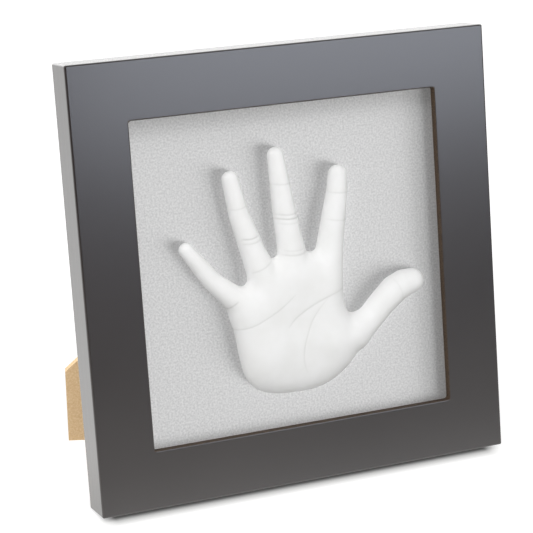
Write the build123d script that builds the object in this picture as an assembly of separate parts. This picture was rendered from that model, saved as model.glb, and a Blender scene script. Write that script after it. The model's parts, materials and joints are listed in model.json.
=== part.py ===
from build123d import *
import os
from math import cos, radians, sin, sqrt, tan

# Square lacquered frame with a raised hand in its window, leaning back on a diagonal easel leg.
# Each piece is drawn on an upright frame: X to the right, Y from the front face to the back, Z up,
# with zero at the middle of the front face. The whole is leaned back and stood on the floor at the end.
# All sizes are in millimetres and degrees.

# Frame board
frame_size = 170.0
board_thickness = 16.0
rail_width = 22.5
eased_edge = 0.8
window_corner = 1.2
window_ease = 0.5
lip_thickness = 3.0
lip_width = 6.0
rabbet_corner = 4.0

# Sheets in the rabbet
sheet_gap = 0.3
panel_thickness = 3.0
backing_thickness = 3.0

# Stance
lean = 10.0
leg_opening = 25.0

# Easel leg
leg_width = 46.5
leg_thickness = 3.0
leg_lift = 0.3
leg_corner = 4.0

# Leg hinge
leaf_thickness = 0.8
leaf_reach = 17.0
leaf_corner = 2.5
hinge_width = 36.0
middle_knuckle = 12.0
knuckle_side_gap = 0.15
knuckle_room = 0.5
pin_radius = 1.0
pin_clearance = 0.05
pin_head_radius = 1.7
pin_head_thickness = 0.7
stop_gap = 0.05
hinge_below_hanger = 3.65

# Rivets of the hinge and the hanger
rivet_radius = 1.3
rivet_clearance = 0.03
rivet_head_radius = 2.6
rivet_head_height = 1.0
rivet_head_round = 0.8
rivet_spacing = 22.0
rivet_from_pin = 11.0

# Turn buttons and their screws
button_from_rabbet = 7.0
button_reach = 14.0
button_tail = 6.0
button_width = 9.0
button_thickness = 1.2
button_gap = 0.1
button_ease = 0.3
screw_radius = 1.1
screw_clearance = 0.06
screw_depth = 9.0
screw_head_radius = 2.4
screw_head_height = 1.4
screw_head_ease = 0.7
screw_point = 1.6
screw_tip_radius = 0.55
cross_length = 2.8
cross_width = 0.6
cross_depth = 0.7

# Sawtooth hanger
hanger_drop = 18.0
hanger_length = 40.0
hanger_height = 9.0
hanger_thickness = 0.9
hanger_foot = 9.0
hanger_slope = 2.0
hanger_rise = 1.5
tooth_pitch = 2.5
tooth_depth = 1.6

# Hand relief: an open right hand, palm forwards, in life size. Its points are right and up from the
# panel's middle, and a third number is the height above the panel.
palm_height = 7.0
palm_round = 5.0
palm_reach = 26.0
palm_steps = 6
palm_middle = (-2.0, -23.0)
palm_outline = [
    (-27.5, -13.0), (-25.8, -23.0), (-24.9, -33.0), (-21.8, -42.4), (-14.0, -48.2), (-3.5, -50.0),
    (8.0, -48.9), (16.5, -44.0), (22.5, -36.5), (23.5, -27.0), (20.5, -17.5), (18.8, -7.0),
    (14.0, 1.5), (4.0, 5.0), (-7.0, 4.2), (-16.5, -0.5), (-24.0, -5.5),
]
# Each fleshy pad: middle, half length, half width, height and turn
pads = {
    "below the little finger": ((-12.0, -31.5, 0), 14.5, 11.0, 8.2, 80),
    "below the fingers": ((-3.0, -6.5, 0), 22.0, 10.5, 8.0, -6),
}
# Each digit: root, middle of the rounded tip, and its radius at the root, halfway and at the tip
digits = {
    "little finger": ((-21.5, -13.0, 0.6), (-42.3, 11.2, 1.0), 6.2, 4.2, 3.2),
    "ring finger": ((-12.2, -4.0, 0.6), (-23.4, 35.5, 1.2), 6.0, 4.7, 3.7),
    "middle finger": ((-0.6, -3.0, 0.6), (-4.7, 43.4, 1.2), 5.8, 4.8, 3.5),
    "index finger": ((13.0, -8.0, 0.6), (20.3, 33.3, 1.2), 6.0, 4.9, 3.7),
    "ball of the thumb": ((12.5, -34.5, -4.5), (41.0, -15.8, 0.6), 13.0, 8.2, 5.6),
    "end of the thumb": ((36.5, -18.6, 0.4), (49.7, -12.1, 0.8), 5.3, 5.7, 4.9),
}

# Sizes that follow from the ones above
window_size = frame_size - 2 * rail_width
rabbet_size = window_size + 2 * lip_width
sheet_size = rabbet_size - 2 * sheet_gap
packing_thickness = board_thickness - lip_thickness - panel_thickness - backing_thickness
panel_back = lip_thickness + panel_thickness
backing_front = board_thickness - backing_thickness
knuckle_radius = pin_radius + pin_clearance + leaf_thickness
leg_outer = knuckle_radius - leaf_thickness
leg_inner = leg_outer - leg_thickness
axis_height = max(knuckle_radius, leg_lift - leg_inner)
knuckle_edge = middle_knuckle / 2
knuckle_end = hinge_width / 2
hanger_level = sheet_size / 2 - hanger_drop
leaf_corner_rise = (leaf_reach + hinge_width / 2) / sqrt(2)
hinge_offset = hanger_level - hanger_height / 2 - hinge_below_hanger - leaf_corner_rise

TOWARDS_VIEWER = (0, -1, 0)
TOWARDS_BACK = (0, 1, 0)


def at_depth(depth):
    """Drawing plane parallel to the front face: x to the right, y up, z towards the viewer."""
    return Plane(origin=(0, depth, 0), x_dir=(1, 0, 0), z_dir=TOWARDS_VIEWER)


def sheet(outline, front, thickness):
    """Flat sheet of the given outline, from its front depth towards the back."""
    return extrude(at_depth(front) * outline, amount=-thickness)


def rod(radius, start, end):
    """Rod along the local Y axis, from start to end."""
    section = Plane(origin=(0, start, 0), x_dir=(1, 0, 0), z_dir=(0, 1, 0)) * Circle(radius)
    return extrude(section, amount=end - start)


def block(low, high):
    """Box between two opposite corners."""
    size = [b - a for a, b in zip(low, high)]
    return Pos(*low) * Box(*size, align=(Align.MIN, Align.MIN, Align.MIN))


def bore(radius, top, depth):
    """Round hole cutter along the local Z axis, down from the given top."""
    return Pos(0, 0, top) * Cylinder(radius, depth, align=(Align.CENTER, Align.CENTER, Align.MAX))


def rivet(grip):
    """Round-headed rivet: head above local z = 0, shank down through the grip."""
    head = Cylinder(rivet_head_radius, rivet_head_height, align=(Align.CENTER, Align.CENTER, Align.MIN))
    head = fillet(head.edges().group_by(Axis.Z)[-1], rivet_head_round)
    return head + bore(rivet_radius, 0, grip)


def rivet_holes(places, top, depth):
    """Cutters for a row of rivets at local (x, y) places."""
    return [Pos(x, y, 0) * bore(rivet_radius + rivet_clearance, top, depth) for x, y in places]


# Easel leg geometry, worked out in the hinge's own axes: x from the pin towards the leg's point,
# y along the pin, z away from the back. The leg is as long as it must be to reach the floor.
up_back = -sin(radians(lean))
up_diagonal = -cos(radians(lean)) / sqrt(2)
up_leg = cos(radians(leg_opening)) * up_diagonal + sin(radians(leg_opening)) * up_back
up_leg_face = cos(radians(leg_opening)) * up_back - sin(radians(leg_opening)) * up_diagonal
floor_level = eased_edge * (sin(radians(lean)) + cos(radians(lean)) - 1)
pin_height = axis_height * up_back + (hinge_offset + frame_size / 2) * cos(radians(lean))
leg_length = (pin_height + leg_inner * up_leg_face - floor_level) / -up_leg
foot_cut = 1 / (cos(radians(leg_opening)) + sqrt(2) * sin(radians(leg_opening)) * tan(radians(lean)))
heel_length = (
    leg_outer * cos(radians(leg_opening)) + axis_height - leaf_thickness - stop_gap
) / sin(radians(leg_opening))

hinge_point = (hinge_offset, board_thickness + axis_height, hinge_offset)
hinge_place = Location(Plane(origin=hinge_point, x_dir=(-1, 0, -1), z_dir=TOWARDS_BACK))
leg_place = hinge_place * Rot(0, -leg_opening, 0)
leaf_start = knuckle_radius + knuckle_room
board_rivet_places = [(-rivet_from_pin, side * rivet_spacing / 2) for side in (-1, 1)]
leg_rivet_places = [(rivet_from_pin, side * rivet_spacing / 2) for side in (-1, 1)]


# Turn button places: the pivot on each rail, local x pointing at the middle of the back
BUTTON_SIDES = {"right": 0, "top": 90, "left": 180, "bottom": 270}


def button_place(side):
    angle = radians(BUTTON_SIDES[side])
    reach = rabbet_size / 2 + button_from_rabbet
    pivot = (reach * cos(angle), board_thickness, reach * sin(angle))
    return Location(Plane(origin=pivot, x_dir=(-cos(angle), 0, -sin(angle)), z_dir=TOWARDS_BACK))


# Sawtooth hanger place: on the back of the backing board, local x along the hanger, y up
hanger_point = (0, board_thickness, hanger_level)
hanger_place = Location(Plane(origin=hanger_point, x_dir=(-1, 0, 0), z_dir=TOWARDS_BACK))
hanger_rivet_places = [(side * (hanger_length - hanger_foot) / 2, 0) for side in (-1, 1)]


def make_frame_board():
    """One MDF board, its window and rear rabbet routed, the outer edges eased."""
    board = Pos(0, board_thickness / 2, 0) * Box(frame_size, board_thickness, frame_size)
    board = fillet(board.edges(), eased_edge)
    board -= sheet(RectangleRounded(window_size, window_size, window_corner), 0, board_thickness)
    rabbet = RectangleRounded(rabbet_size, rabbet_size, rabbet_corner)
    board -= sheet(rabbet, lip_thickness, board_thickness - lip_thickness)
    front_edges = board.edges().filter_by_position(Axis.Y, -window_ease, window_ease / 2)
    inside = (window_size + rail_width) / 2
    rim = [edge for edge in front_edges if max(abs(edge.center().X), abs(edge.center().Z)) < inside]
    board = fillet(rim, window_ease)
    for side in BUTTON_SIDES:
        board -= button_place(side) * bore(screw_radius + screw_clearance, 0, screw_depth + screw_clearance)
    return board


def make_sheet(front, thickness):
    """Square sheet that drops into the rabbet."""
    return sheet(RectangleRounded(sheet_size, sheet_size, rabbet_corner), front, thickness)


def make_backing_board():
    """Raw MDF back, drilled for the rivets of the hinge and the hanger."""
    backing = make_sheet(backing_front, backing_thickness)
    for hole in rivet_holes(board_rivet_places, -axis_height, backing_thickness):
        backing -= hinge_place * hole
    for hole in rivet_holes(hanger_rivet_places, 0, backing_thickness):
        backing -= hanger_place * hole
    return backing


def make_digit(root, tip, root_radius, middle_radius, tip_radius):
    """Round tapering finger, rounded at its tip and at its root in the palm."""
    reach = Vector(tip) - Vector(root)
    length = reach.length
    heel = RadiusArc((-root_radius, 0), (0, root_radius), root_radius)
    flank = Spline(
        (0, root_radius),
        (length / 2, middle_radius),
        (length, tip_radius),
        tangents=((1, 0), (1, 0)),
    )
    cap = RadiusArc((length, tip_radius), (length + tip_radius, 0), tip_radius)
    profile = make_face([heel, flank, cap, Line((length + tip_radius, 0), (-root_radius, 0))])
    along = Plane(origin=root, x_dir=reach, z_dir=reach.cross(Vector(0, 0, 1)))
    return along.location * revolve(profile, Axis.X)


def make_pad(middle, half_length, half_width, height, turn):
    """Fleshy mound of the palm: half an ellipsoid, its length turned from the x axis."""
    return Pos(*middle) * Rot(0, 0, turn) * scale(Sphere(1), (half_length, half_width, height))


def make_palm():
    """Palm with rounded flanks, lofted through outlines that draw in towards its front."""
    centre = Vector(palm_middle)
    sections = []
    for step in range(palm_steps):
        turn = radians(90 * step / palm_steps)
        shrink = 1 - palm_round * (1 - cos(turn)) / palm_reach
        points = [centre + (Vector(point) - centre) * shrink for point in palm_outline]
        sections.append(Pos(0, 0, palm_height * sin(turn)) * make_face(Spline(*points, periodic=True)))
    return loft(sections)


def make_hand():
    """Palm, pads and digits in one cast, flat where it is glued to the panel."""
    hand = make_palm()
    for middle, half_length, half_width, height, turn in pads.values():
        hand += make_pad(middle, half_length, half_width, height, turn)
    for root, tip, root_radius, middle_radius, tip_radius in digits.values():
        hand += make_digit(root, tip, root_radius, middle_radius, tip_radius)
    behind = Pos(0, 0, -frame_size / 2) * Box(frame_size, frame_size, frame_size)
    return at_depth(lip_thickness).location * (hand - behind)


def make_leg():
    """Flat MDF leg with a right-angled point, so that it stands on either edge of the point."""
    half = leg_width / 2
    shoulder = leg_length - half * foot_cut
    outline = make_face(
        Polyline(
            (leaf_start, -half), (shoulder, -half), (leg_length, 0), (shoulder, half), (leaf_start, half),
            close=True,
        )
    )
    top_corners = outline.vertices().group_by(Axis.X)[0]
    outline = fillet(top_corners, leg_corner)
    leg = extrude(Pos(0, 0, leg_inner) * outline, amount=leg_thickness)
    for hole in rivet_holes(leg_rivet_places, leg_outer, leg_thickness):
        leg -= hole
    return leg_place * leg


def leaf_plate(start, end, bottom):
    """Hinge leaf's flat plate, its two corners away from the pin rounded."""
    low, high = sorted((start, end))
    outline = Pos((low + high) / 2, 0) * Rectangle(high - low, hinge_width)
    far_corners = [corner for corner in outline.vertices() if abs(corner.X - end) < leaf_thickness / 2]
    outline = fillet(far_corners, leaf_corner)
    return extrude(Pos(0, 0, bottom) * outline, amount=leaf_thickness)


def make_board_leaf():
    """Pressed steel leaf on the backing board, its edge rolled up into the two outer knuckles."""
    bottom = -axis_height
    inner_edge = knuckle_edge + knuckle_side_gap
    leaf = leaf_plate(-leg_outer, -leaf_reach, bottom)
    leaf -= block((-leaf_start, -inner_edge, bottom), (0, inner_edge, bottom + leaf_thickness))
    for side in (-1, 1):
        start, end = sorted((side * inner_edge, side * knuckle_end))
        leaf += block((-knuckle_radius, start, bottom), (-leg_outer, end, 0))
        leaf += rod(knuckle_radius, start, end)
    leaf -= rod(pin_radius + pin_clearance, -knuckle_end, knuckle_end)
    for hole in rivet_holes(board_rivet_places, bottom + leaf_thickness, leaf_thickness):
        leaf -= hole
    return hinge_place * leaf


def make_leg_leaf():
    """Leaf on the outside of the leg. Its middle runs on over the pin and ends in the heel that stops it."""
    inner_edge = knuckle_edge - knuckle_side_gap
    leaf = leaf_plate(leaf_start, leaf_reach, leg_outer)
    leaf += block((-heel_length, -inner_edge, leg_outer), (leaf_start, inner_edge, knuckle_radius))
    leaf += rod(knuckle_radius, -inner_edge, inner_edge)
    leaf -= rod(pin_radius + pin_clearance, -inner_edge, inner_edge)
    for hole in rivet_holes(leg_rivet_places, knuckle_radius, leaf_thickness):
        leaf -= hole
    return leg_place * leaf


def make_hinge_pin():
    """Steel pin, headed over at both ends."""
    shoulder = knuckle_end + knuckle_side_gap
    pin = rod(pin_radius, -shoulder, shoulder)
    for side in (-1, 1):
        start, end = sorted((side * shoulder, side * (shoulder + pin_head_thickness)))
        pin += rod(pin_head_radius, start, end)
    return hinge_place * pin


def make_rivets(place, places, seat, grip):
    """Group of like rivets, their heads on the seat."""
    return Compound([place * Pos(x, y, seat) * rivet(grip) for x, y in places])


def make_turn_button(side):
    """Flat steel button that turns on its screw, one end over the backing board."""
    length = button_reach + button_tail
    outline = Pos((button_reach - button_tail) / 2, 0) * SlotOverall(length, button_width)
    button = extrude(Pos(0, 0, button_gap) * outline, amount=button_thickness)
    button = fillet(button.edges().group_by(Axis.Z)[-1], button_ease)
    button -= bore(screw_radius + screw_clearance, button_gap + button_thickness, button_thickness)
    return button_place(side) * button


def make_button_screw(side):
    """Domed screw with a cross recess. Its head keeps the button from lifting."""
    seat = button_thickness + 2 * button_gap
    head = Pos(0, 0, seat) * Cylinder(
        screw_head_radius, screw_head_height, align=(Align.CENTER, Align.CENTER, Align.MIN)
    )
    head = fillet(head.edges().group_by(Axis.Z)[-1], screw_head_ease)
    top = seat + screw_head_height
    for length, width in ((cross_length, cross_width), (cross_width, cross_length)):
        head -= Pos(0, 0, top) * Box(length, width, 2 * cross_depth)
    shank = bore(screw_radius, seat, seat + screw_depth)
    shank = chamfer(shank.edges().group_by(Axis.Z)[0], screw_point, screw_radius - screw_tip_radius)
    return button_place(side) * (head + shank)


def make_hanger_plate():
    """Pressed strip, its feet flat on the back and its middle raised, with teeth along the lower edge."""
    half = hanger_length / 2
    bend = half - hanger_foot
    crest = bend - hanger_slope
    under = [(-half, 0), (-bend, 0), (-crest, hanger_rise), (crest, hanger_rise), (bend, 0), (half, 0)]
    over = [(x, height + hanger_thickness) for x, height in reversed(under)]
    profile = make_face(Polyline(*under, *over, close=True))
    across = Plane(origin=(0, -hanger_height / 2, 0), x_dir=(1, 0, 0), z_dir=(0, -1, 0))
    strip = extrude(across * profile, amount=-hanger_height)
    count = int(2 * crest / tooth_pitch)
    for index in range(count):
        middle = (index - (count - 1) / 2) * tooth_pitch
        tooth = make_face(
            Polyline((-tooth_pitch / 2, 0), (0, tooth_depth), (tooth_pitch / 2, 0), close=True)
        )
        notch = extrude(tooth, amount=hanger_rise + hanger_thickness)
        strip -= Pos(middle, -hanger_height / 2, 0) * notch
    for hole in rivet_holes(hanger_rivet_places, hanger_thickness, hanger_thickness):
        strip -= hole
    return hanger_place * strip


pieces = {
    "frame_board": make_frame_board(),
    "print_panel": make_sheet(lip_thickness, panel_thickness),
    "hand_relief": make_hand(),
    "packing_board": make_sheet(panel_back, packing_thickness),
    "backing_board": make_backing_board(),
    "easel_leg": make_leg(),
    "hinge_board_leaf": make_board_leaf(),
    "hinge_leg_leaf": make_leg_leaf(),
    "hinge_pin": make_hinge_pin(),
    "board_leaf_rivets": make_rivets(
        hinge_place, board_rivet_places, leaf_thickness - axis_height, leaf_thickness + backing_thickness
    ),
    "leg_leaf_rivets": make_rivets(
        leg_place, leg_rivet_places, knuckle_radius, leaf_thickness + leg_thickness
    ),
    "hanger_plate": make_hanger_plate(),
    "hanger_rivets": make_rivets(
        hanger_place, hanger_rivet_places, hanger_thickness, hanger_thickness + backing_thickness
    ),
}
for side in BUTTON_SIDES:
    pieces["turn_button_" + side] = make_turn_button(side)
    pieces["button_screw_" + side] = make_button_screw(side)

# The frame leans back about its lower back edge, whose rounding touches the floor,
# and the whole is centred over the origin.
leaned = Pos(0, 0, -floor_level) * Rot(-lean, 0, 0) * Pos(0, -board_thickness, frame_size / 2)
boxes = [(leaned * piece).bounding_box() for piece in pieces.values()]
front = min(box.min.Y for box in boxes)
back = max(box.max.Y for box in boxes)
standing = Pos(0, -(front + back) / 2, 0) * leaned

os.makedirs("parts", exist_ok=True)
for name, piece in pieces.items():
    export_step(standing * piece, "parts/" + name + ".step")
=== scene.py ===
import json
from math import atan2, radians

import bpy
import numpy as np
from mathutils import Euler, Matrix, Vector


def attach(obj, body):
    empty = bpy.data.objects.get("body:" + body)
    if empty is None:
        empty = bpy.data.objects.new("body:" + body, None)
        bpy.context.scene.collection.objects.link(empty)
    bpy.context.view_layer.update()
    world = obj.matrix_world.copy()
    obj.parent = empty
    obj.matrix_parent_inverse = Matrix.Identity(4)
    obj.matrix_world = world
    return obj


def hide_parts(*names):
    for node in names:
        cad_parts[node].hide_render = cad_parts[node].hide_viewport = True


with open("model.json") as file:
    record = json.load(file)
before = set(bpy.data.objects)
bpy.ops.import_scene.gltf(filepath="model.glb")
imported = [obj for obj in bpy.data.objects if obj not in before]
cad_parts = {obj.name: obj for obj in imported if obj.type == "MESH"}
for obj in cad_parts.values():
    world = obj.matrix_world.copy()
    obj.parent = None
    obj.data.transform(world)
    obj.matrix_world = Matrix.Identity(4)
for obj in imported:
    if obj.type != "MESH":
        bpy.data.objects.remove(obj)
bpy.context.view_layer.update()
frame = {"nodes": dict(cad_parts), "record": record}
nodes = frame["nodes"]

# Frame board: one square of 16 mm MDF, its window and its rear rabbet cut by a router, leaning back on
# its lower edge. It is sprayed with a near-black satin lacquer, and the router's cut was left bare.
mm = 0.001
frame_size = 170 * mm
board_thickness = 16 * mm
window_half = 62.5 * mm
window_ease = 0.5 * mm
lower_edge = frame["record"]["mounts"][0]
board_up = -Vector(lower_edge["axis"])
board_front = Vector((1, 0, 0)).cross(board_up)
lean = atan2(board_up.y, board_up.z)
lower_middle = Vector(lower_edge["pos_m"])
face_middle = lower_middle + board_up * frame_size / 2 + board_front * board_thickness / 2


def linear(code):
    """Linear colour of an sRGB hex value."""
    channels = [int(code[i : i + 2], 16) / 255 for i in (1, 3, 5)]
    return [c / 12.92 if c <= 0.04045 else ((c + 0.055) / 1.055) ** 2.4 for c in channels] + [1]


def add(owner, kind, inputs, **settings):
    """Adds a shader node to a material or world. An input is a constant, or another node's output."""
    made = owner.node_tree.nodes.new("ShaderNode" + kind)
    for name, value in settings.items():
        if name == "stops":
            for element, (place, colour) in zip(made.color_ramp.elements, value):
                element.position = place
                element.color = linear(colour)
        else:
            setattr(made, name, value)
    for name, value in inputs.items():
        if isinstance(value, bpy.types.NodeSocket):
            owner.node_tree.links.new(value, made.inputs[name])
        else:
            made.inputs[name].default_value = value
    return made


def blank_material(name):
    """Empty material, and its places: millimetres right, back and up from the face's middle."""
    material = bpy.data.materials.new(name)
    material.use_nodes = True
    material.node_tree.nodes.clear()
    place = add(material, "TexCoord", {})
    on_board = add(
        material,
        "Mapping",
        {
            "Vector": place.outputs["Object"],
            "Location": face_middle,
            "Rotation": (-lean, 0, 0),
            "Scale": (mm, mm, mm),
        },
        vector_type="TEXTURE",
    )
    return material, on_board.outputs["Vector"]


def finish_material(material, **inputs):
    """Principled surface. Underscores in the input names stand for spaces."""
    named = {name.replace("_", " "): value for name, value in inputs.items()}
    surface = add(material, "BsdfPrincipled", named)
    add(material, "OutputMaterial", {"Surface": surface.outputs["BSDF"]})


def dress(node, material):
    """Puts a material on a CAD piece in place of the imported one."""
    nodes[node].data.materials.clear()
    nodes[node].data.materials.append(material)


# Satin spray lacquer over MDF: near black and a little warm, with a soft broad gloss, faint orange peel,
# and along the edges the fine streaks of the board's layers. The bare cut is a rough, fibrous brown, and
# the lacquer begins on the eased edge of the window.
streak_length = 167
streak_width = 0.77
fibre_size = 0.625
peel_size = 0.625
peel_depth = 0.022 * mm
bare_until = window_half + 0.1 * window_ease
lacquered_from = window_half + 0.7 * window_ease
bare_roughness = 0.5
lacquer, at = blank_material("satin_lacquered_mdf")
streaks_at = add(
    lacquer,
    "VectorMath",
    {0: at, 1: (1 / streak_length, 1 / streak_width, 1 / streak_length)},
    operation="MULTIPLY",
)
streaks = add(lacquer, "TexNoise", {"Vector": streaks_at.outputs[0], "Scale": 1.0, "Detail": 4.0})
lacquer_tone = add(
    lacquer,
    "ValToRGB",
    {"Fac": streaks.outputs["Fac"]},
    stops=[(0.3, "#241F1E"), (0.7, "#302B29")],
)
split = add(lacquer, "SeparateXYZ", {"Vector": at})
sideways = add(lacquer, "Math", {0: split.outputs["X"]}, operation="ABSOLUTE")
upwards = add(lacquer, "Math", {0: split.outputs["Z"]}, operation="ABSOLUTE")
from_middle = add(lacquer, "Math", {0: sideways.outputs[0], 1: upwards.outputs[0]}, operation="MAXIMUM")
bare_wall = add(
    lacquer,
    "MapRange",
    {
        "Value": from_middle.outputs[0],
        "From Min": bare_until / mm,
        "From Max": lacquered_from / mm,
        "To Min": 1.0,
        "To Max": 0.0,
    },
)
fibres = add(lacquer, "TexNoise", {"Vector": at, "Scale": 1 / fibre_size, "Detail": 5.0})
bare_tone = add(
    lacquer,
    "ValToRGB",
    {"Fac": fibres.outputs["Fac"]},
    stops=[(0.35, "#291F18"), (0.65, "#4F4032")],
)
board_tone = add(
    lacquer,
    "Mix",
    {0: bare_wall.outputs[0], 6: lacquer_tone.outputs["Color"], 7: bare_tone.outputs["Color"]},
    data_type="RGBA",
)
peel = add(lacquer, "TexNoise", {"Vector": at, "Scale": 1 / peel_size, "Detail": 2.0})
peel_bump = add(lacquer, "Bump", {"Height": peel.outputs["Fac"], "Strength": 0.7, "Distance": peel_depth})
gloss = add(lacquer, "MapRange", {"Value": streaks.outputs["Fac"], "To Min": 0.24, "To Max": 0.4})
rough = add(lacquer, "MapRange", {"Value": bare_wall.outputs[0], "To Min": 0.0, "To Max": bare_roughness})
board_rough = add(lacquer, "Math", {0: gloss.outputs[0], 1: rough.outputs[0]}, operation="ADD")
sealed = add(lacquer, "Math", {0: 1.0, 1: bare_wall.outputs[0]}, operation="SUBTRACT")
finish_material(
    lacquer,
    Base_Color=board_tone.outputs[2],
    Roughness=board_rough.outputs[0],
    IOR=1.6,
    Coat_Weight=sealed.outputs[0],
    Coat_Roughness=0.19,
    Coat_IOR=1.6,
    Normal=peel_bump.outputs["Normal"],
    Coat_Normal=peel_bump.outputs["Normal"],
)
dress("frame_board", lacquer)

# Panel: a square of grey board with a fine pale speckle, dropped into the rabbet behind the front lip.
# Its face lies one lip's thickness behind the face of the frame.
lip_thickness = 3 * mm
panel_middle = face_middle - board_front * lip_thickness

# Speckled grey board: matte, with a paper-like tooth, so it takes soft shadows and shows no gloss. The
# speckle is drawn coarser than real flecks, so that it shows.
speckle_size = 0.75
tooth_depth = 0.05 * mm
speckled_board, at = blank_material("speckled_grey_board")
speckle = add(speckled_board, "TexNoise", {"Vector": at, "Scale": 1 / speckle_size, "Detail": 2.0})
speckle_tone = add(
    speckled_board,
    "ValToRGB",
    {"Fac": speckle.outputs["Fac"]},
    stops=[(0.33, "#BEBEBF"), (0.67, "#D7D7D7")],
)
tooth = add(
    speckled_board,
    "Bump",
    {"Height": speckle.outputs["Fac"], "Strength": 0.4, "Distance": tooth_depth},
)
finish_material(
    speckled_board,
    Base_Color=speckle_tone.outputs["Color"],
    Roughness=0.9,
    IOR=1.45,
    Normal=tooth.outputs["Normal"],
)
dress("print_panel", speckled_board)

# Hand: the plaster cast of a small child's open right hand, palm forwards, about 100 mm long. It is
# rubbed smooth and glued to the panel by its flat back. Places are millimetres right, up and out from
# the panel's middle. Each digit is a row of joints: its place and its radius there.
digits = {
    "little_finger": [
        (-18, -15, 0.5, 7.0), (-25, -9.6, 0.8, 5.3), (-34.1, -1.1, 1, 3.9), (-43.4, 11.9, 1, 2.9),
    ],
    "ring_finger": [
        (-11, -8, 0.5, 7.0), (-16.5, 7.3, 1, 5.1), (-21.2, 22.4, 1, 4.0), (-23.9, 36.4, 1.2, 3.3),
    ],
    "middle_finger": [
        (0, -6, 0.5, 7.0), (-0.9, 6, 1, 5.6), (-2.5, 19.2, 1, 4.8), (-4.9, 43.4, 1.2, 3.3),
    ],
    "index_finger": [
        (12.5, -10, 0.5, 7.0), (15.6, 8.4, 1, 5.3), (19.6, 26.8, 1, 4.2), (20.2, 33.4, 1.2, 3.7),
    ],
    "thumb": [
        (12, -32.5, -4, 12), (23.2, -29.6, -1, 8.2), (29.9, -25.7, 0, 5.6), (35, -20.3, 0.4, 5.6),
        (41.2, -15.2, 0.4, 5.8), (45.4, -13.2, 0.5, 5.6), (49.3, -12.4, 0.7, 5.0),
    ],
}
digit_sides = 48
palm_outline = [
    (-28, -13), (-26.3, -23), (-24.9, -33), (-21.9, -43), (-14, -49.2), (-3.5, -51.1), (8.1, -49.9),
    (17.2, -45), (24, -37.2), (24, -27.5), (20.4, -18.6), (18.8, -8), (13, 2), (3, 5.5), (-7, 4.5),
    (-15.3, -0.9), (-22.6, -6.4),
]
palm_round = 9.5
palm_round_steps = 8
palm_flat = 0.4
palm_squash = 0.75
# The palm and the webs are smoothed most, up to palm_reach from the palm's middle, the fingers least
palm_middle = (-2, -22)
palm_reach = 34.0
finger_reach = 44.0
reach_steps = 10
weld = 0.001
voxel = 0.32
soften_rounds = 44
webbing_rounds = 220
# Each swell of the palm: its middle, its spread and its height
swells = {
    "ball_of_thumb": ((14, -31), 9, 1.0),
    "outer_heel": ((-13, -34), 8, 0.7),
    "finger_roots": ((-2, -5), 8, 0.2),
    "hollow": ((-2, -21), 7, -0.6),
    "heel": ((-3, -57), 22, -4.6),
}
# Each crease: its depth, its half width, and points along it, right and up. It runs out at both ends,
# over crease_fade of its length.
crease_fade = 0.3
crease_cuts = 3
creases = {
    "heart_line": (0.1, 0.3, [(-31, -21.5), (-22.2, -20.6), (-14.4, -17.3), (-8.5, -14.3), (-2.5, -9.5)]),
    "head_line": (
        0.11, 0.35, [(22, -9.4), (12, -12), (4.7, -14.6), (0.3, -17), (-3.7, -19.6), (-6.5, -22.7)],
    ),
    "life_line": (
        0.08, 0.3,
        [(11, -12.4), (6.2, -17), (3.4, -21), (1.4, -25.9), (-0.4, -31.7), (-0.4, -37.5), (1.2, -42)],
    ),
    "little_root": (0.12, 0.35, [(-31, -14.2), (-28, -11.5), (-25.5, -9.5)]),
    "ring_root": (0.08, 0.35, [(-19, 0.2), (-15, 1.4), (-10.5, 4)]),
    "ring_middle": (0.15, 0.3, [(-22.3, 13.4), (-18.5, 13.3), (-14.5, 14.4)]),
    "ring_middle_low": (0.1, 0.3, [(-21.8, 11.6), (-18.2, 11.5), (-14.2, 12.6)]),
    "ring_end": (0.08, 0.3, [(-25.4, 25), (-22, 25.2), (-18.5, 26.2)]),
    "middle_root": (0.1, 0.35, [(-6.5, 5.6), (-1, 4.9), (4.5, 5.6)]),
    "middle_root_low": (0.06, 0.3, [(-5.5, 7.2), (-1, 6.6), (3.5, 7.2)]),
    "middle_middle": (0.16, 0.3, [(-7.5, 19.6), (-2.5, 18.9), (2.6, 19.3)]),
    "middle_middle_top": (0.12, 0.3, [(-7.3, 21.2), (-2.7, 20.6), (2.2, 21)]),
    "middle_middle_low": (0.05, 0.3, [(-6.9, 17.7), (-2.3, 17.1), (2.7, 17.5)]),
    "middle_end": (0.08, 0.3, [(-7.9, 32.8), (-3.5, 32.3), (0.5, 32.6)]),
    "index_middle": (0.06, 0.3, [(13, 17), (18, 16), (22.6, 15.6)]),
    "index_end": (0.09, 0.3, [(15.4, 27), (20, 26.4), (24, 26.2)]),
    "thumb_end": (0.04, 0.3, [(40, -9.6), (42.5, -14.5), (43.5, -20.2)]),
}
smooth_below = 50


def rod_between(start, end, start_radius, end_radius):
    """Tapered rod from one joint of a digit to the next."""
    reach = Vector(end) - Vector(start)
    bpy.ops.mesh.primitive_cone_add(
        vertices=digit_sides,
        radius1=start_radius,
        radius2=end_radius,
        depth=reach.length,
        location=(Vector(start) + Vector(end)) / 2,
        rotation=reach.to_track_quat("Z", "Y").to_euler(),
    )


def smoothed(points):
    """Corner-cut line through a crease's points."""
    line = np.array(points, float)
    for _ in range(crease_cuts):
        near = line[:-1] * 0.75 + line[1:] * 0.25
        far = line[:-1] * 0.25 + line[1:] * 0.75
        cut = np.stack([near, far], 1).reshape(-1, 2)
        line = np.vstack([line[:1], cut, line[-1:]])
    return line


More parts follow.
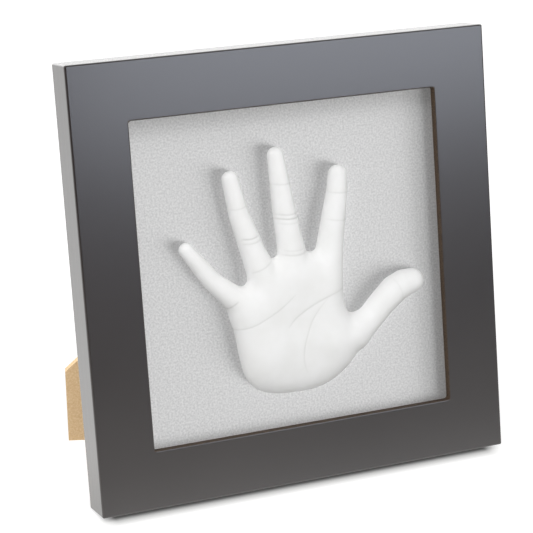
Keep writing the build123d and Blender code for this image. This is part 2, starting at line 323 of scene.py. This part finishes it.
bpy.ops.object.select_all(action="DESELECT")
hand_blanks = []
for joints in digits.values():
    for *place, radius in joints:
        bpy.ops.mesh.primitive_uv_sphere_add(
            segments=digit_sides, ring_count=digit_sides // 2, radius=radius, location=place
        )
        hand_blanks.append(bpy.context.object)
    for (*start, start_radius), (*end, end_radius) in zip(joints, joints[1:]):
        rod_between(start, end, start_radius, end_radius)
        hand_blanks.append(bpy.context.object)
bpy.ops.curve.primitive_bezier_circle_add(radius=1)
palm = bpy.context.object
palm.data.dimensions = "2D"
palm.data.fill_mode = "BOTH"
palm.data.splines.clear()
edge = palm.data.splines.new("BEZIER")
edge.bezier_points.add(len(palm_outline) - 1)
edge.use_cyclic_u = True
for point, (right, up) in zip(edge.bezier_points, palm_outline):
    point.co = (right, up, 0)
    point.handle_left_type = "AUTO"
    point.handle_right_type = "AUTO"
palm.data.extrude = palm_flat
palm.data.bevel_depth = palm_round
palm.data.bevel_resolution = palm_round_steps
palm.data.offset = -palm_round
palm.scale.z = palm_squash
bpy.ops.object.convert(target="MESH")
hand_blanks.append(palm)

# The blanks are joined, blended into one skin and smoothed
bpy.ops.object.select_all(action="DESELECT")
for blank in hand_blanks:
    blank.select_set(True)
bpy.context.view_layer.objects.active = hand_blanks[0]
bpy.ops.object.join()
hand = bpy.context.object
hand.name = "plaster_hand"
bpy.ops.object.transform_apply(location=True, rotation=True, scale=True)
bpy.ops.object.mode_set(mode="EDIT")
bpy.ops.mesh.select_all(action="SELECT")
bpy.ops.mesh.remove_doubles(threshold=weld)
bpy.ops.mesh.normals_make_consistent(inside=False)
bpy.ops.object.mode_set(mode="OBJECT")
remesh = hand.modifiers.new("blend", "REMESH")
remesh.mode = "VOXEL"
remesh.voxel_size = voxel
bpy.ops.object.modifier_apply(modifier="blend")
count = len(hand.data.vertices)
flesh = np.zeros(count * 3)
hand.data.vertices.foreach_get("co", flesh)
from_palm = np.linalg.norm(flesh.reshape(-1, 3)[:, :2] - palm_middle, axis=1)
palm_share = np.clip((finger_reach - from_palm) / (finger_reach - palm_reach), 0, 1)
bpy.ops.object.vertex_group_add()
webbing = hand.vertex_groups.active
for level in range(1, reach_steps + 1):
    picked = np.flatnonzero(np.round(palm_share * reach_steps) == level)
    webbing.add(picked.tolist(), level / reach_steps, "REPLACE")
for stage, rounds, group in (("soften", soften_rounds, ""), ("blend_palm", webbing_rounds, webbing.name)):
    soften = hand.modifiers.new(stage, "SMOOTH")
    soften.factor = 0.5
    soften.iterations = rounds
    soften.vertex_group = group
    bpy.ops.object.modifier_apply(modifier=stage)
bpy.ops.object.vertex_group_remove(all=True)

# The creases sink into the skin and the swells rise from it
hand.data.vertices.foreach_get("co", flesh)
flesh = flesh.reshape(-1, 3)
outwards = np.zeros(count * 3)
hand.data.vertices.foreach_get("normal", outwards)
outwards = outwards.reshape(-1, 3)
sink = np.zeros(count)
swelling = np.zeros(count)
for depth, half_width, points in creases.values():
    line = smoothed(points)
    nearest = np.full(count, np.inf)
    way = np.zeros(count)
    for step, (start, end) in enumerate(zip(line, line[1:])):
        run = end - start
        share = np.clip((flesh[:, :2] - start) @ run / (run @ run), 0, 1)
        away = np.linalg.norm(flesh[:, :2] - start - share[:, None] * run, axis=1)
        way = np.where(away < nearest, (step + share) / (len(line) - 1), way)
        nearest = np.minimum(nearest, away)
    fade = np.clip(np.minimum(way, 1 - way) / crease_fade, 0, 1)
    sink = np.maximum(sink, depth * fade * np.exp(-((nearest / half_width) ** 2)))
for middle, spread, height in swells.values():
    away = np.linalg.norm(flesh[:, :2] - middle, axis=1)
    swelling += height * np.exp(-((away / spread) ** 2))
flesh -= outwards * sink[:, None]
flesh[:, 2] += swelling
hand.data.vertices.foreach_set("co", flesh.ravel())
# Painted shade: each point keeps its crease depth, as a share of the deepest, to grey the plaster there
painted_crease_shade_share = hand.data.attributes.new("painted_crease_shade", "FLOAT", "POINT")
painted_crease_shade_share.data.foreach_set("value", sink / sink.max())
hand.data.update()

# The back is cut flat, and the hand is stood on the panel
bpy.ops.object.mode_set(mode="EDIT")
bpy.ops.mesh.select_all(action="SELECT")
bpy.ops.mesh.bisect(plane_co=(0, 0, 0), plane_no=(0, 0, 1), use_fill=True, clear_inner=True)
bpy.ops.mesh.select_all(action="SELECT")
bpy.ops.mesh.normals_make_consistent(inside=False)
bpy.ops.object.mode_set(mode="OBJECT")
hand.matrix_world = (
    Matrix.Translation(panel_middle)
    @ Euler((radians(90) - lean, 0, 0)).to_matrix().to_4x4()
    @ Matrix.Scale(mm, 4)
)
bpy.ops.object.transform_apply(location=True, rotation=True, scale=True)
bpy.ops.object.shade_smooth_by_angle(angle=radians(smooth_below))

# Casting plaster: a smooth, dead matte white with a trace of mottling. It is painted a little greyer
# down in the creases, as painted shade. Its grit is drawn coarser than it is, so that it shows.
mottle_size = 8.33
grit_size = 0.5
grit_depth = 0.02 * mm
plaster, at = blank_material("casting_plaster")
mottle = add(plaster, "TexNoise", {"Vector": at, "Scale": 1 / mottle_size, "Detail": 3.0})
plaster_tone = add(
    plaster,
    "ValToRGB",
    {"Fac": mottle.outputs["Fac"]},
    stops=[(0.3, "#F1F1F0"), (0.7, "#F6F6F6")],
)
# Painted shade: the plaster is mixed towards grey along the creases, more where they are deep
painted_crease_shade = add(plaster, "Attribute", {}, attribute_name="painted_crease_shade")
plaster_tone_with_crease_shade = add(
    plaster,
    "Mix",
    {0: painted_crease_shade.outputs["Fac"], 6: plaster_tone.outputs["Color"], 7: linear("#DADAD8")},
    data_type="RGBA",
)
grit = add(plaster, "TexNoise", {"Vector": at, "Scale": 1 / grit_size, "Detail": 3.0})
grit_bump = add(plaster, "Bump", {"Height": grit.outputs["Fac"], "Strength": 0.1, "Distance": grit_depth})
finish_material(
    plaster,
    Base_Color=plaster_tone_with_crease_shade.outputs[2],
    Roughness=0.8,
    IOR=1.52,
    Normal=grit_bump.outputs["Normal"],
)
hand.data.materials.clear()
hand.data.materials.append(plaster)
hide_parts("hand_relief")
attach(hand, "frame")

# Packing: a block of brown card that fills the rabbet behind the panel. It is hidden between the panel
# and the back.
pulp_size = 0.833

# Brown pulp board: a dull, coarse brown with paler flecks, and no shine.
pulp_board, at = blank_material("brown_pulp_board")
pulp = add(pulp_board, "TexNoise", {"Vector": at, "Scale": 1 / pulp_size, "Detail": 6.0})
pulp_tone = add(
    pulp_board,
    "ValToRGB",
    {"Fac": pulp.outputs["Fac"]},
    stops=[(0.3, "#A98C66"), (0.7, "#C9AD86")],
)
finish_material(pulp_board, Base_Color=pulp_tone.outputs["Color"], Roughness=0.9, IOR=1.45)
dress("packing_board", pulp_board)

# Back and easel leg: 3 mm MDF, cut and left raw. The back closes the rabbet, and the leg is a two-way
# strut with a right-angled point, hinged on the back.
chip_size = 0.714
chip_depth = 0.05 * mm

# Raw MDF: a dry, matte tan with a fine felt of fibres. The fibres are drawn coarser than they are, so
# that they show.
raw_mdf, at = blank_material("raw_mdf")
chips = add(raw_mdf, "TexNoise", {"Vector": at, "Scale": 1 / chip_size, "Detail": 6.0})
chip_tone = add(
    raw_mdf,
    "ValToRGB",
    {"Fac": chips.outputs["Fac"]},
    stops=[(0.3, "#CEAE84"), (0.7, "#E0C6A0")],
)
chip_bump = add(raw_mdf, "Bump", {"Height": chips.outputs["Fac"], "Strength": 0.3, "Distance": chip_depth})
finish_material(
    raw_mdf,
    Base_Color=chip_tone.outputs["Color"],
    Roughness=0.85,
    IOR=1.45,
    Normal=chip_bump.outputs["Normal"],
)
dress("backing_board", raw_mdf)
dress("easel_leg", raw_mdf)

# Hinge, hanger, turn buttons, screws and rivets: pressed and headed steel, riveted and screwed to the
# boards, and plated with zinc.
fittings = ("hinge", "hanger", "board_leaf", "leg_leaf", "turn_button", "button_screw")
cloud_size = 2.0

# Zinc plate: barrel plating leaves a cool grey with a slightly clouded shine.
zinc_plate, at = blank_material("zinc_plated_steel")
cloud = add(zinc_plate, "TexNoise", {"Vector": at, "Scale": 1 / cloud_size, "Detail": 5.0})
zinc_tone = add(
    zinc_plate,
    "ValToRGB",
    {"Fac": cloud.outputs["Fac"]},
    stops=[(0.3, "#A9ABAB"), (0.7, "#C6C8C8")],
)
zinc_gloss = add(zinc_plate, "MapRange", {"Value": cloud.outputs["Fac"], "To Min": 0.25, "To Max": 0.45})
finish_material(
    zinc_plate,
    Base_Color=zinc_tone.outputs["Color"],
    Metallic=1.0,
    Roughness=zinc_gloss.outputs[0],
)
for node in nodes:
    if node.startswith(fittings):
        dress(node, zinc_plate)

# Studio floor: a pale, matte sheet that runs out to white for the camera, and is white in the lacquer's
# gloss behind the frame. It keeps the frame's shadow.
floor_side = 6
floor_front = 0.5
bpy.ops.object.select_all(action="DESELECT")
bpy.ops.mesh.primitive_plane_add(size=floor_side, location=(0, floor_side / 2 - floor_front, 0))
floor = bpy.context.object
floor.name = "floor"
bpy.ops.object.transform_apply(location=True)
white_floor = bpy.data.materials.new("white_floor")
white_floor.use_nodes = True
white_floor.node_tree.nodes.clear()
floor_path = add(white_floor, "LightPath", {})
seen_floor = add(
    white_floor,
    "Math",
    {0: floor_path.outputs["Is Camera Ray"], 1: floor_path.outputs["Is Transmission Ray"]},
    operation="MAXIMUM",
)
spot = add(white_floor, "TexCoord", {})
on_floor = add(white_floor, "SeparateXYZ", {"Vector": spot.outputs["Object"]})
from_frame = add(white_floor, "VectorMath", {0: spot.outputs["Object"]}, operation="LENGTH")
near_frame = 0.09
far_from_frame = 0.2
near_white = 0.82
full_white = 1.0
whitening = add(
    white_floor,
    "MapRange",
    {
        "Value": from_frame.outputs["Value"],
        "From Min": near_frame,
        "From Max": far_from_frame,
        "To Min": near_white,
        "To Max": full_white,
    },
)
# The board's raised front edge leaves a gap above the floor. A soft patch along the gap isn't whitened:
# a painted contact shadow, partly real shade under the edge and partly painted shadow. Each side of
# the patch: where it is clear, and where it is darkest.
front_foot = (lower_middle + board_front * board_thickness / 2).y
rear_foot = (lower_middle - board_front * board_thickness / 2).y
along = add(white_floor, "Math", {0: on_floor.outputs["X"]}, operation="ABSOLUTE")
painted_shadow_sides = (
    (on_floor.outputs["Y"], front_foot - 3.5 * mm, front_foot + 4 * mm),
    (on_floor.outputs["Y"], rear_foot + 8 * mm, rear_foot),
    (along.outputs[0], frame_size / 2 + 0.5 * mm, frame_size / 2 - 6 * mm),
)
painted_shadow_white = 0.02
painted_gap_shadow = 1.0
for value, clear, darkest in painted_shadow_sides:
    ramp = add(white_floor, "MapRange", {"Value": value, "From Min": clear, "From Max": darkest})
    painted_gap_shadow = add(white_floor, "Math", {0: painted_gap_shadow, 1: ramp.outputs[0]}, operation="MULTIPLY").outputs[0]
whitening_with_painted_shadow = add(white_floor, "MapRange", {"Value": painted_gap_shadow, "To Min": whitening.outputs[0], "To Max": painted_shadow_white})
mirror_front = -0.2
mirror_back = 0.02
mirror_white = 0.75
behind = add(
    white_floor,
    "MapRange",
    {
        "Value": on_floor.outputs["Y"],
        "From Min": mirror_front,
        "From Max": mirror_back,
        "To Min": 0.0,
        "To Max": mirror_white,
    },
)
mirror_level = add(
    white_floor,
    "Math",
    {0: behind.outputs[0], 1: whitening_with_painted_shadow.outputs[0]},
    operation="MINIMUM",
)
mirrored = add(
    white_floor,
    "Math",
    {0: floor_path.outputs["Is Glossy Ray"], 1: mirror_level.outputs[0]},
    operation="MULTIPLY",
)
lift = add(
    white_floor,
    "Math",
    {0: seen_floor.outputs[0], 1: whitening_with_painted_shadow.outputs[0], 2: mirrored.outputs[0]},
    operation="MULTIPLY_ADD",
)
finish_material(
    white_floor,
    Base_Color=linear("#B8B8B6"),
    Roughness=0.9,
    Emission_Color=linear("#FFFFFF"),
    Emission_Strength=lift.outputs[0],
)
floor.data.materials.append(white_floor)
floor.visible_shadow = False

# Room: white to the camera, with very little light of its own. What is glossy mirrors it dark in front
# of the frame and bright behind it.
room_light = 0.04
sweep_front = -0.2
sweep_back = 0.3
sweep_dark = 0.03
sweep_bright = 1.7
world = bpy.data.worlds.new("white_room")
bpy.context.scene.world = world
world.use_nodes = True
world.node_tree.nodes.clear()
room_path = add(world, "LightPath", {})
facing = add(world, "TexCoord", {})
towards = add(world, "SeparateXYZ", {"Vector": facing.outputs["Generated"]})
sweep = add(
    world,
    "MapRange",
    {
        "Value": towards.outputs["Y"],
        "From Min": sweep_front,
        "From Max": sweep_back,
        "To Min": sweep_dark,
        "To Max": sweep_bright,
    },
)
lighting = add(
    world,
    "MapRange",
    {"Value": room_path.outputs["Is Glossy Ray"], "To Min": room_light, "To Max": sweep.outputs[0]},
)
seen_room = add(
    world,
    "Math",
    {0: room_path.outputs["Is Camera Ray"], 1: room_path.outputs["Is Transmission Ray"]},
    operation="MAXIMUM",
)
room_level = add(
    world,
    "MapRange",
    {"Value": seen_room.outputs[0], "To Min": lighting.outputs[0], "To Max": full_white},
)
room = add(world, "Background", {"Color": linear("#FFFFFF"), "Strength": room_level.outputs[0]})
add(world, "OutputWorld", {"Surface": room.outputs[0]})

# Lamps: soft squares, each named for what it lights. The hand's shadow falls up and left, but the lip's
# falls down and left, so the panel has lamps of its own, and so have the hand and the frame. Each lamp:
# its turn to the right of straight ahead and its height, both in degrees, its distance, the side of its
# square face, its power in watts, and its colour.
lamps = {
    "frame_front": (26, 18, 1.6, 0.8, 6.6, "#EAF1FF"),
    "frame_left": (-80, 20, 1.1, 0.8, 8.6, "#FFFFFF"),
    "frame_back": (180, 35, 1.1, 0.9, 12.0, "#FFFFFF"),
    "hand_left": (-34, 36, 1.1, 0.9, 11.6, "#FFFFFF"),
    "hand_right": (48, 13, 1.1, 0.9, 4.7, "#FFFFFF"),
    "panel_key": (62, -18, 4.0, 2.0, 156.0, "#FFFFFF"),
    "panel_hand_key": (56, -18, 4.0, 1.6, 64.0, "#FFFFFF"),
    "panel_right": (86, 10, 4.0, 1.6, 320.0, "#FFFFFF"),
    "panel_top_right": (86, 46, 4.0, 2.6, 118.0, "#FFFFFF"),
    "panel_top": (0, 94, 0.5, 0.35, 2.3, "#FFFFFF"),
}
mirrored_lamp = "frame_front"


def lamp_group(name, pieces, state):
    """Collection of pieces that a lamp works on alone, or leaves out."""
    group = bpy.data.collections.new(name)
    for piece in pieces:
        group.objects.link(piece)
    for member in group.collection_objects:
        member.light_linking.link_state = state
    return group


panel = nodes["print_panel"]
lit_by = {
    "frame": lamp_group("lit_by_frame_lamps", [panel, hand, floor], "EXCLUDE"),
    "hand": lamp_group("lit_by_hand_lamps", [panel], "EXCLUDE"),
    "panel": lamp_group("lit_by_panel_lamps", [panel], "INCLUDE"),
}
lip_shadows = lamp_group("lip_shadows", [nodes["frame_board"]], "INCLUDE")
hand_shadows = lamp_group("hand_shadows", [hand], "INCLUDE")
# These lamps throw the shadows of one piece only, and the others those of all pieces
shadows_of = {
    "panel_hand_key": hand_shadows,
    "panel_right": lip_shadows,
    "panel_top_right": lip_shadows,
    "panel_top": lip_shadows,
}
for name, (turn, rise, distance, side, power, tint) in lamps.items():
    aim = Euler((radians(-rise), 0, radians(turn))).to_matrix() @ Vector((0, -1, 0))
    bpy.ops.object.light_add(type="AREA", location=panel_middle + aim * distance)
    lamp = bpy.context.object
    lamp.name = "lamp_" + name
    lamp.data.size = side
    lamp.data.energy = power
    lamp.data.color = linear(tint)[:3]
    lamp.rotation_euler = aim.to_track_quat("Z", "Y").to_euler()
    lamp.visible_camera = False
    lamp.visible_glossy = name == mirrored_lamp
    lamp.light_linking.receiver_collection = lit_by[name.split("_")[0]]
    if name in shadows_of:
        lamp.light_linking.blocker_collection = shadows_of[name]

# Camera: in front of the frame, a little to its left, and looking down on it through a long lens.
camera_place = (-0.2865, -0.6760, 0.3452)
camera_tilt = 70
camera_turn = -22.84
camera_lens = 133.8
sensor_width = 36
bpy.ops.object.camera_add(location=camera_place, rotation=(radians(camera_tilt), 0, radians(camera_turn)))
camera = bpy.context.object
camera.name = "camera"
camera.data.sensor_width = sensor_width
camera.data.lens = camera_lens
bpy.context.scene.camera = camera
bpy.context.scene.view_settings.view_transform = "Standard"
